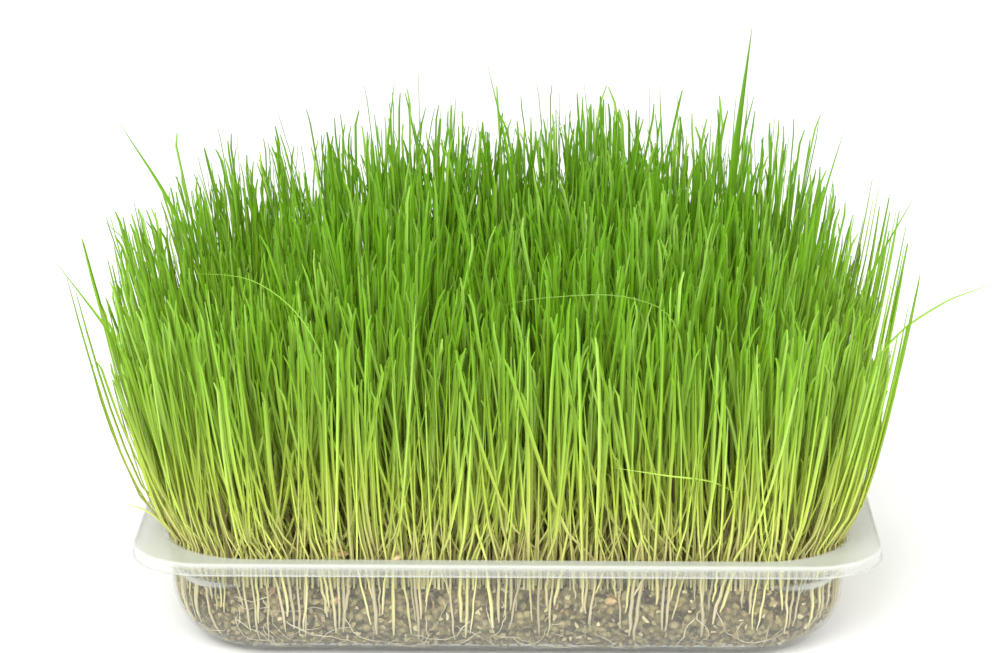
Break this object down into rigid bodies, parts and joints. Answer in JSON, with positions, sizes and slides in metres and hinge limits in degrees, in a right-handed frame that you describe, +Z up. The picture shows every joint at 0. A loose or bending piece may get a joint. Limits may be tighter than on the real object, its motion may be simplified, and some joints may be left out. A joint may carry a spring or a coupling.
{
  "type": "wheatgrass tray",
  "caption": "Shallow rectangular clear food tray with a flat flange, filled with crumbly growing medium and a dense sward of wheatgrass.",
  "frame": {"origin": "on the supporting surface, under the middle of the tray's flat base", "axes": "+X along the tray's long side, +Y from the front of the pictured view to the back, +Z up"},
  "size_m": [0.341, 0.2459, 0.208],
  "materials": {
    "clear_tray": "clear, slightly milky thin-formed plastic",
    "growing_medium": "damp crumbly mineral flakes and husk with fine pale roots",
    "grass": "satin blades, straw coloured at the foot"
  },
  "bodies": {
    "root": {"tray": "clear_tray", "growing_medium": "growing_medium", "grass_tuft_01": "grass", "grass_tuft_02": "grass", "grass_tuft_03": "grass", "grass_tuft_04": "grass", "grass_tuft_05": "grass", "grass_tuft_06": "grass", "grass_tuft_07": "grass", "grass_tuft_08": "grass", "grass_tuft_09": "grass", "grass_tuft_10": "grass", "grass_tuft_11": "grass", "grass_tuft_12": "grass", "grass_tuft_13": "grass", "grass_tuft_14": "grass", "grass_tuft_15": "grass", "grass_tuft_16": "grass", "grass_tuft_17": "grass", "grass_tuft_18": "grass", "grass_tuft_19": "grass", "grass_tuft_20": "grass", "grass_tuft_21": "grass", "grass_tuft_22": "grass", "grass_tuft_23": "grass", "grass_tuft_24": "grass", "grass_tuft_25": "grass", "grass_tuft_26": "grass", "grass_tuft_27": "grass", "grass_tuft_28": "grass", "grass_tuft_29": "grass", "grass_tuft_30": "grass", "grass_tuft_31": "grass", "grass_tuft_32": "grass", "grass_tuft_33": "grass", "grass_tuft_34": "grass", "grass_tuft_35": "grass", "grass_tuft_36": "grass", "grass_tuft_37": "grass", "grass_tuft_38": "grass", "grass_tuft_39": "grass", "grass_tuft_40": "grass", "grass_tuft_41": "grass", "grass_tuft_42": "grass", "grass_tuft_43": "grass", "grass_tuft_44": "grass", "grass_tuft_45": "grass"}
  },
  "joints": []
}
